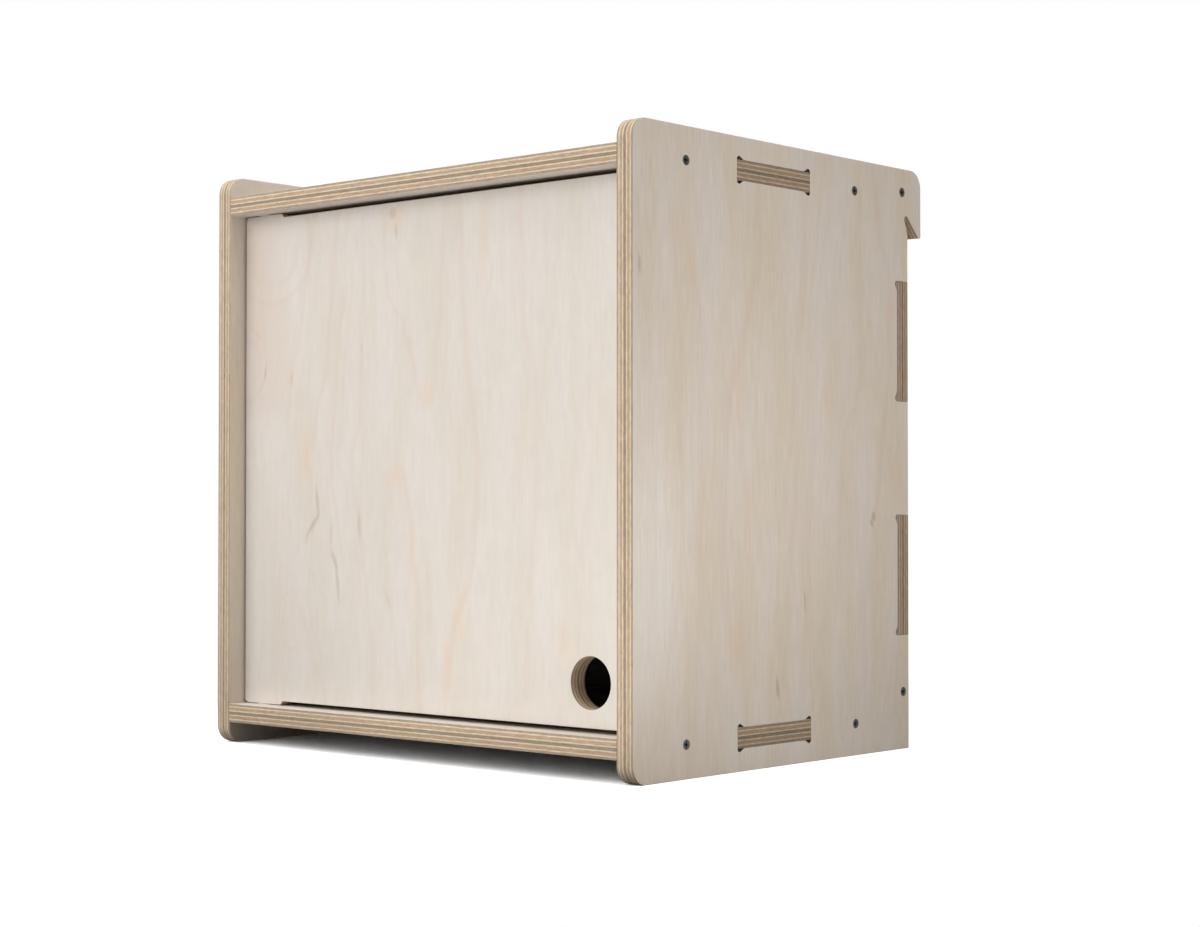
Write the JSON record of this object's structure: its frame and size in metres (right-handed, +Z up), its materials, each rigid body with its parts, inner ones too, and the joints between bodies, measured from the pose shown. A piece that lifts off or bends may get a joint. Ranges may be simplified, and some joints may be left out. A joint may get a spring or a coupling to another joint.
{
  "type": "cleat-hung wall cabinet",
  "caption": "Plywood wall cabinet with tenoned panels, cleat hooks on its side panels and an inset pivoting door with a round finger hole.",
  "frame": {"origin": "on the floor under the middle of the whole box, where the side panels stand", "axes": "+X to the viewer's right across the front, +Y from the door to the wall, +Z up"},
  "size_m": [0.358, 0.283, 0.368],
  "materials": {
    "birch_plywood": "sanded, clear matt",
    "zinc_screw": "blue zinc plated",
    "ground_steel": "ground",
    "bush_brass": "turned",
    "washer_nylon": "natural",
    "magnet_nickel": "nickel plated"
  },
  "bodies": {
    "cabinet": {"left_side_panel": "birch_plywood", "right_side_panel": "birch_plywood", "top_board": "birch_plywood", "bottom_board": "birch_plywood", "back_panel": "birch_plywood", "door_stop": "birch_plywood", "upper_pivot_bush": "bush_brass", "lower_pivot_bush": "bush_brass", "upper_pivot_washer": "washer_nylon", "lower_pivot_washer": "washer_nylon", "left_top_screws": "zinc_screw", "left_bottom_screws": "zinc_screw", "left_back_screws": "zinc_screw", "right_top_screws": "zinc_screw", "right_bottom_screws": "zinc_screw", "right_back_screws": "zinc_screw", "door_stop_screws": "zinc_screw", "upper_catch_magnet": "magnet_nickel", "lower_catch_magnet": "magnet_nickel"},
    "door": {"door_panel": "birch_plywood", "upper_pivot_pin": "ground_steel", "lower_pivot_pin": "ground_steel", "upper_strike_plate": "ground_steel", "lower_strike_plate": "ground_steel", "upper_strike_screw": "zinc_screw", "lower_strike_screw": "zinc_screw"}
  },
  "joints": [
    {"name": "door_swing", "type": "hinge", "parent": "cabinet", "child": "door", "pos_m": [-0.1481, -0.1235, 0.184], "axis": [0, 0, -1], "range_deg": [0, 122]}
  ]
}
